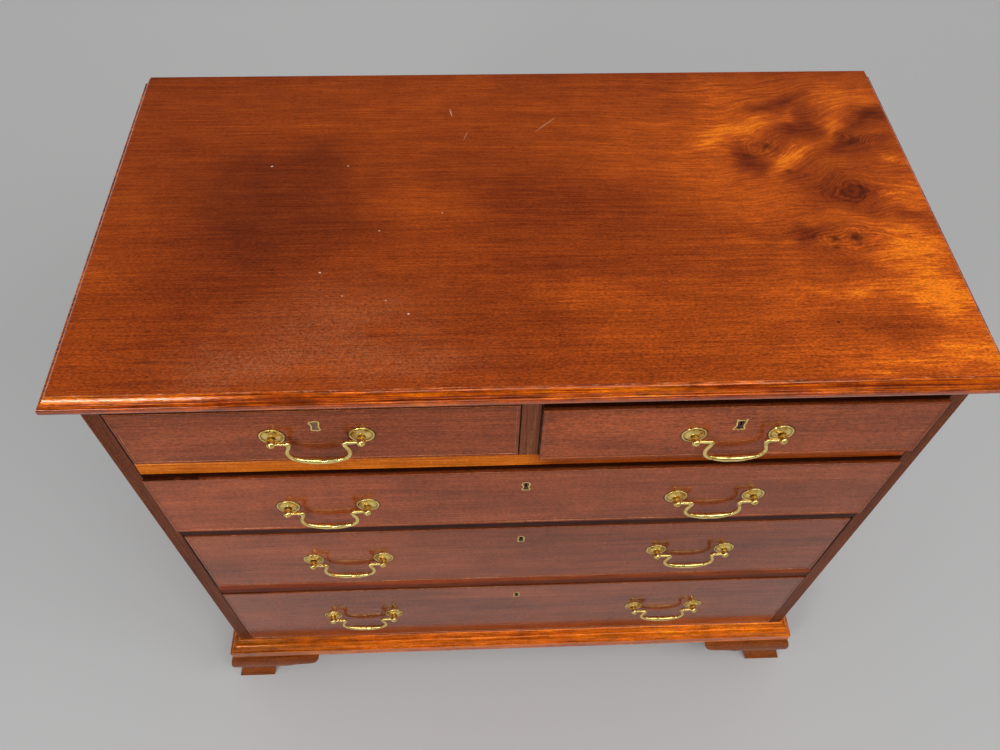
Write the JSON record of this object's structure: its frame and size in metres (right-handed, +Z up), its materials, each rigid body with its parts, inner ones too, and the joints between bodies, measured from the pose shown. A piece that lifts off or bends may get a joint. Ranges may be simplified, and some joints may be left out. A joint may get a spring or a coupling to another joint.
{
  "type": "chest of drawers",
  "caption": "Low mahogany chest with two short drawers over three long graduated ones, brass bail handles, a moulded top and ogee bracket feet.",
  "frame": {"origin": "middle of the width and of the overall depth, on the floor under the feet", "axes": "+X to the right seen from the front, +Y from the drawer fronts towards the back, +Z up"},
  "size_m": [0.9356, 0.4894, 0.841],
  "materials": {
    "top_wood": "French-polished mahogany, warm orange brown with dark patches",
    "case_wood": "French-polished mahogany, reddish brown, worn at the arrises",
    "pine": "bare pine, darkened with age",
    "oak": "bare oak, planed",
    "brass": "polished cast brass with tarnish in the corners",
    "iron": "wrought iron lock, dulled"
  },
  "bodies": {
    "carcass": {"top_board": "top_wood", "side_left": "case_wood", "side_right": "case_wood", "back_panel": "pine", "bottom_board": "pine", "top_rail": "case_wood", "rail_1": "case_wood", "rail_2": "case_wood", "rail_3": "case_wood", "centre_stile": "case_wood", "centre_partition": "pine", "dustboard_1": "pine", "dustboard_2": "pine", "dustboard_3": "pine", "base_moulding": "case_wood", "foot_front_left": "case_wood", "foot_front_right": "case_wood", "foot_back_left": "case_wood", "foot_back_right": "case_wood"},
    "short_left_drawer": {"short_left_front": "case_wood", "short_left_side_left": "oak", "short_left_side_right": "oak", "short_left_back": "oak", "short_left_bottom": "oak"},
    "short_left_bail": {"short_left_bail": "brass"},
    "short_right_drawer": {"short_right_front": "case_wood", "short_right_side_left": "oak", "short_right_side_right": "oak", "short_right_back": "oak", "short_right_bottom": "oak", "short_right_lock": "iron"},
    "short_right_bail": {"short_right_bail": "brass"},
    "short_right_lock_bolt": {"short_right_lock_bolt": "brass"},
    "second_drawer": {"second_front": "case_wood", "second_side_left": "oak", "second_side_right": "oak", "second_back": "oak", "second_bottom": "oak", "second_lock": "iron"},
    "second_bail_left": {"second_bail_left": "brass"},
    "second_bail_right": {"second_bail_right": "brass"},
    "second_lock_bolt": {"second_lock_bolt": "brass"},
    "third_drawer": {"third_front": "case_wood", "third_side_left": "oak", "third_side_right": "oak", "third_back": "oak", "third_bottom": "oak", "third_lock": "iron"},
    "third_bail_left": {"third_bail_left": "brass"},
    "third_bail_right": {"third_bail_right": "brass"},
    "third_lock_bolt": {"third_lock_bolt": "brass"},
    "fourth_drawer": {"fourth_front": "case_wood", "fourth_side_left": "oak", "fourth_side_right": "oak", "fourth_back": "oak", "fourth_bottom": "oak", "fourth_lock": "iron"},
    "fourth_bail_left": {"fourth_bail_left": "brass"},
    "fourth_bail_right": {"fourth_bail_right": "brass"},
    "fourth_lock_bolt": {"fourth_lock_bolt": "brass"}
  },
  "joints": [
    {"name": "short_left_slide", "type": "slide", "parent": "carcass", "child": "short_left_drawer", "axis": [0, -1, 0], "range_m": [-0.0008, 0.3]},
    {"name": "short_left_bail_swing", "type": "hinge", "parent": "short_left_drawer", "child": "short_left_bail", "pos_m": [-0.22107, -0.22875, 0.73748], "axis": [-1, 0, 0], "range_deg": [-8, 188]},
    {"name": "short_right_slide", "type": "slide", "parent": "carcass", "child": "short_right_drawer", "axis": [0, -1, 0], "range_m": [-0.0078, 0.3]},
    {"name": "short_right_bail_swing", "type": "hinge", "parent": "short_right_drawer", "child": "short_right_bail", "pos_m": [0.2183, -0.23575, 0.73298], "axis": [-1, 0, 0], "range_deg": [-8, 188]},
    {"name": "short_right_lock_bolt_slide", "type": "slide", "parent": "short_right_drawer", "child": "short_right_lock_bolt", "axis": [0, 0, 1], "range_m": [0, 0.011]},
    {"name": "second_slide", "type": "slide", "parent": "carcass", "child": "second_drawer", "axis": [0, -1, 0], "range_m": [-0.0061, 0.3]},
    {"name": "second_bail_left_swing", "type": "hinge", "parent": "second_drawer", "child": "second_bail_left", "pos_m": [-0.23085, -0.23405, 0.59025], "axis": [-1, 0, 0], "range_deg": [-8, 188]},
    {"name": "second_bail_right_swing", "type": "hinge", "parent": "second_drawer", "child": "second_bail_right", "pos_m": [0.22577, -0.23405, 0.59025], "axis": [-1, 0, 0], "range_deg": [-8, 188]},
    {"name": "second_lock_bolt_slide", "type": "slide", "parent": "second_drawer", "child": "second_lock_bolt", "axis": [0, 0, 1], "range_m": [0, 0.011]},
    {"name": "third_slide", "type": "slide", "parent": "carcass", "child": "third_drawer", "axis": [0, -1, 0], "range_m": [0, 0.3]},
    {"name": "third_bail_left_swing", "type": "hinge", "parent": "third_drawer", "child": "third_bail_left", "pos_m": [-0.229, -0.22795, 0.42328], "axis": [-1, 0, 0], "range_deg": [-8, 188]},
    {"name": "third_bail_right_swing", "type": "hinge", "parent": "third_drawer", "child": "third_bail_right", "pos_m": [0.23085, -0.22795, 0.42328], "axis": [-1, 0, 0], "range_deg": [-8, 188]},
    {"name": "third_lock_bolt_slide", "type": "slide", "parent": "third_drawer", "child": "third_lock_bolt", "axis": [0, 0, 1], "range_m": [0, 0.011]},
    {"name": "fourth_slide", "type": "slide", "parent": "carcass", "child": "fourth_drawer", "axis": [0, -1, 0], "range_m": [-0.0011, 0.3]},
    {"name": "fourth_bail_left_swing", "type": "hinge", "parent": "fourth_drawer", "child": "fourth_bail_left", "pos_m": [-0.2327, -0.22905, 0.215], "axis": [-1, 0, 0], "range_deg": [-8, 188]},
    {"name": "fourth_bail_right_swing", "type": "hinge", "parent": "fourth_drawer", "child": "fourth_bail_right", "pos_m": [0.22992, -0.22905, 0.215], "axis": [-1, 0, 0], "range_deg": [-8, 188]},
    {"name": "fourth_lock_bolt_slide", "type": "slide", "parent": "fourth_drawer", "child": "fourth_lock_bolt", "axis": [0, 0, 1], "range_m": [0, 0.011]}
  ]
}
